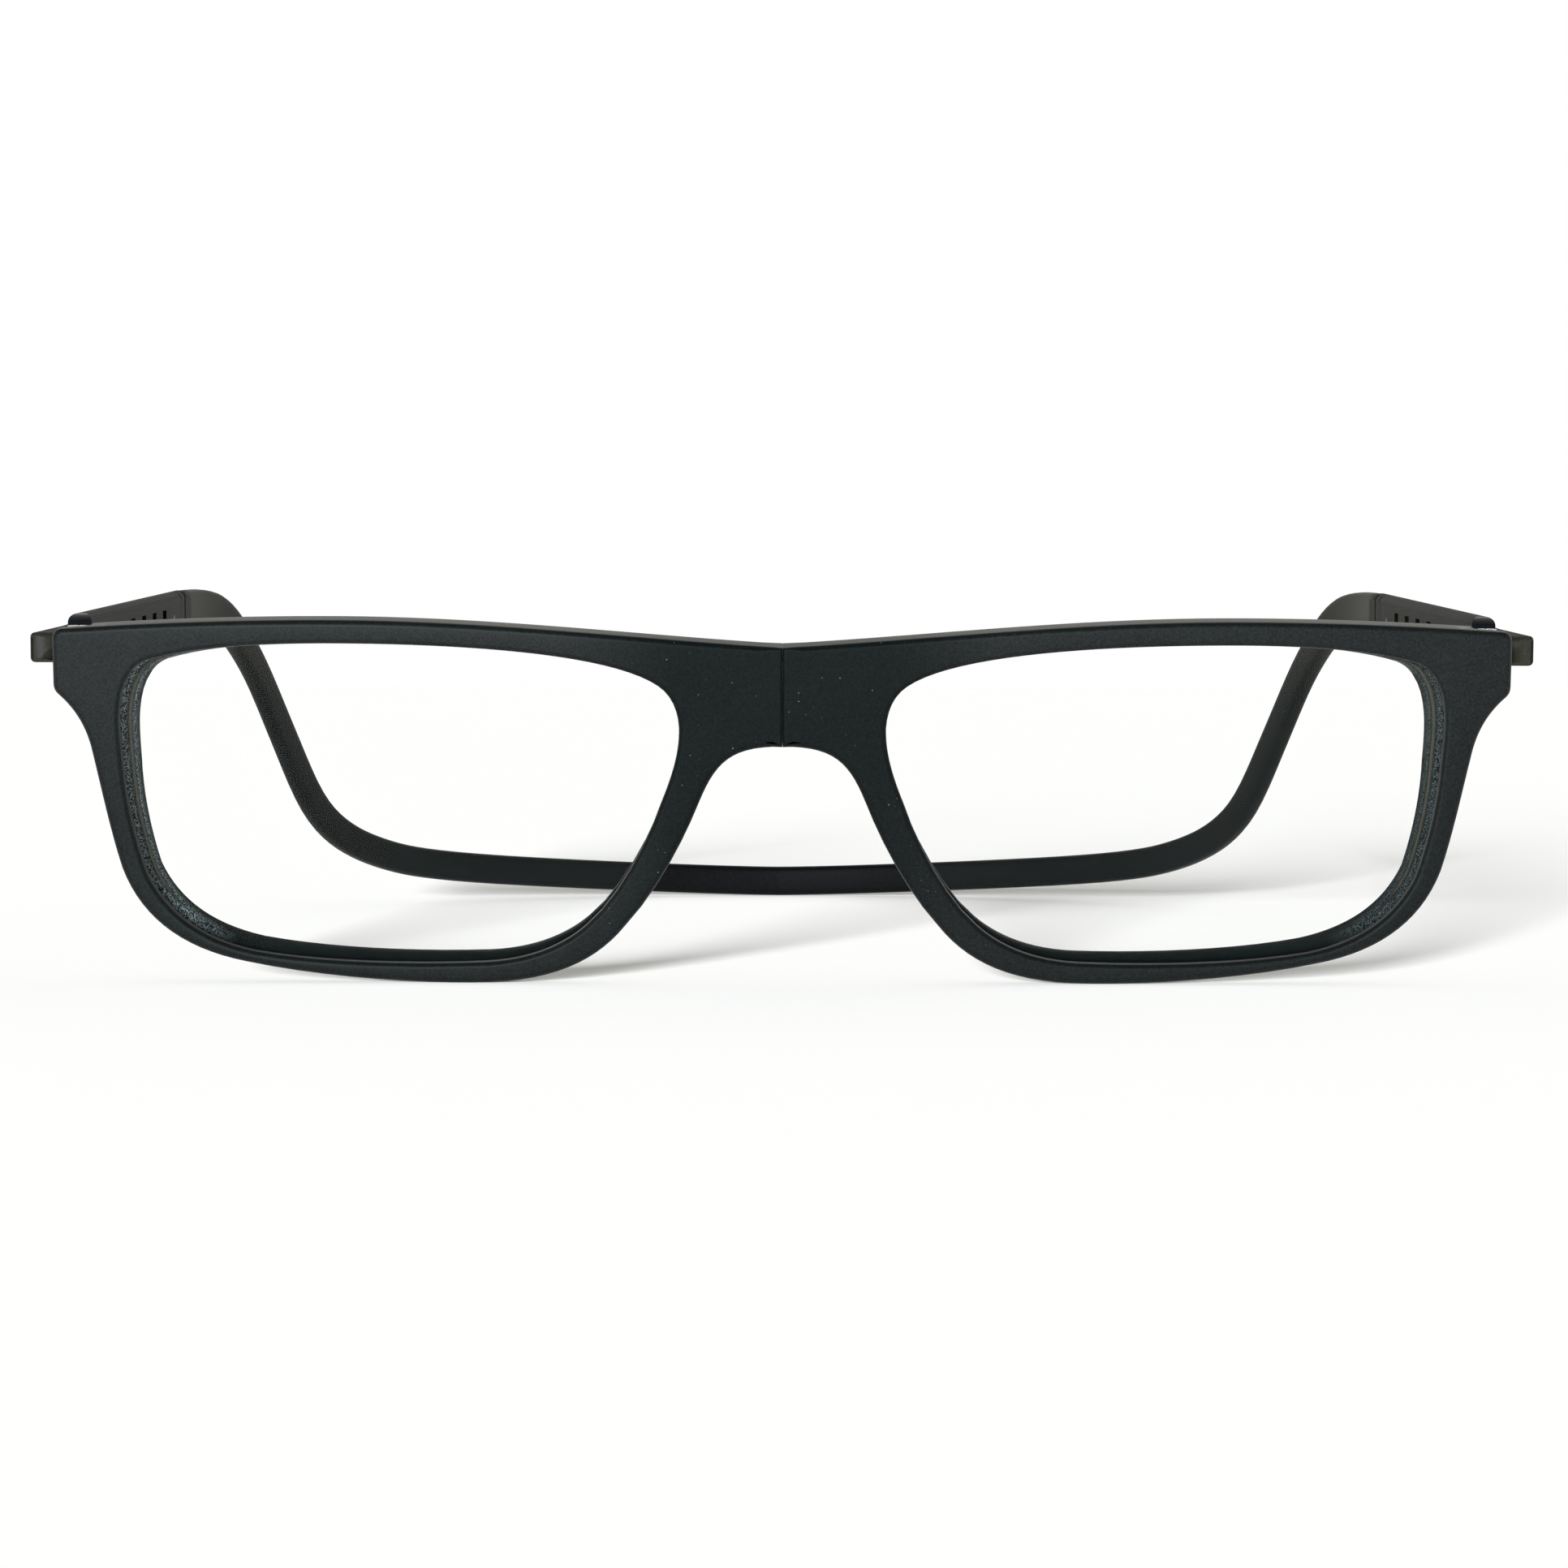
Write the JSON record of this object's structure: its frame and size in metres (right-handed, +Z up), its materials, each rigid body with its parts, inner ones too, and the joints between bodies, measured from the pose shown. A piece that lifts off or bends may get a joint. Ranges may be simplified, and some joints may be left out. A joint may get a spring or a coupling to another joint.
{
  "type": "reading glasses",
  "caption": "Rectangular clear-lens reading glasses with a magnetic bridge opening, hinged half fronts, sliding arms and a flexible headband.",
  "frame": {"origin": "middle of the overall box in X and Y, on the surface that the glasses rest on in Z", "axes": "+X to the picture's right, +Y from the front to the back of the headband, +Z up"},
  "size_m": [0.1478, 0.165, 0.0408],
  "materials": {
    "frame_plastic": "moulded near-black nylon, fine spark-eroded grain",
    "arm_plastic": "moulded near-black nylon, fine grain, warmer inside",
    "slider_plastic": "moulded near-black nylon, fine grain",
    "band_plastic": "flexible near-black nylon, fine grain",
    "lens": "clear polished spectacle plastic, coated against reflections",
    "magnet": "nickel-plated neodymium, hidden in the bridge",
    "hinge_metal": "stamped nickel silver",
    "screw": "stainless steel",
    "pin": "stainless steel",
    "spring": "spring steel strip"
  },
  "bodies": {
    "headband": {"headband": "band_plastic"},
    "slider_left": {"slider_left": "slider_plastic", "detent_spring_left": "spring"},
    "slider_right": {"slider_right": "slider_plastic", "detent_spring_right": "spring"},
    "temple_left": {"temple_left": "arm_plastic", "hinge_temple_leaf_left": "hinge_metal", "stop_pin_left": "pin"},
    "temple_right": {"temple_right": "arm_plastic", "hinge_temple_leaf_right": "hinge_metal", "stop_pin_right": "pin"},
    "front_left": {"front_left": "frame_plastic", "lens_left": "lens", "magnet_left": "magnet", "hinge_front_leaf_left": "hinge_metal", "hinge_screw_left": "screw"},
    "front_right": {"front_right": "frame_plastic", "lens_right": "lens", "magnet_right": "magnet", "hinge_front_leaf_right": "hinge_metal", "hinge_screw_right": "screw"}
  },
  "joints": [
    {"name": "spread_left", "type": "hinge", "parent": "headband", "child": "slider_left", "pos_m": [-0.06009, 0.0474, 0.01263], "axis": [0, 0.0603, -0.9982], "range_deg": [0, 20], "stiffness_Nm_per_rad": 0.3, "deforming": ["headband"]},
    {"name": "adjust_left", "type": "slide", "parent": "slider_left", "child": "temple_left", "axis": [0, -0.9982, -0.0603], "range_m": [0, 0.0216], "deforming": ["detent_spring_left"]},
    {"name": "fold_left", "type": "hinge", "parent": "temple_left", "child": "front_left", "pos_m": [-0.06885, -0.07762, 0.03239], "axis": [0, -0.0603, 0.9982], "range_deg": [0, 88]},
    {"name": "spread_right", "type": "hinge", "parent": "headband", "child": "slider_right", "pos_m": [0.06009, 0.0474, 0.01263], "axis": [0, -0.0603, 0.9982], "range_deg": [0, 20], "stiffness_Nm_per_rad": 0.3, "deforming": ["headband"]},
    {"name": "adjust_right", "type": "slide", "parent": "slider_right", "child": "temple_right", "axis": [0, -0.9982, -0.0603], "range_m": [0, 0.0216], "deforming": ["detent_spring_right"]},
    {"name": "fold_right", "type": "hinge", "parent": "temple_right", "child": "front_right", "pos_m": [0.06885, -0.07762, 0.03239], "axis": [0, 0.0603, -0.9982], "range_deg": [0, 88]}
  ],
  "couplings": [
    {"joint": "spread_right", "follows": "spread_left", "ratio": 1}
  ]
}
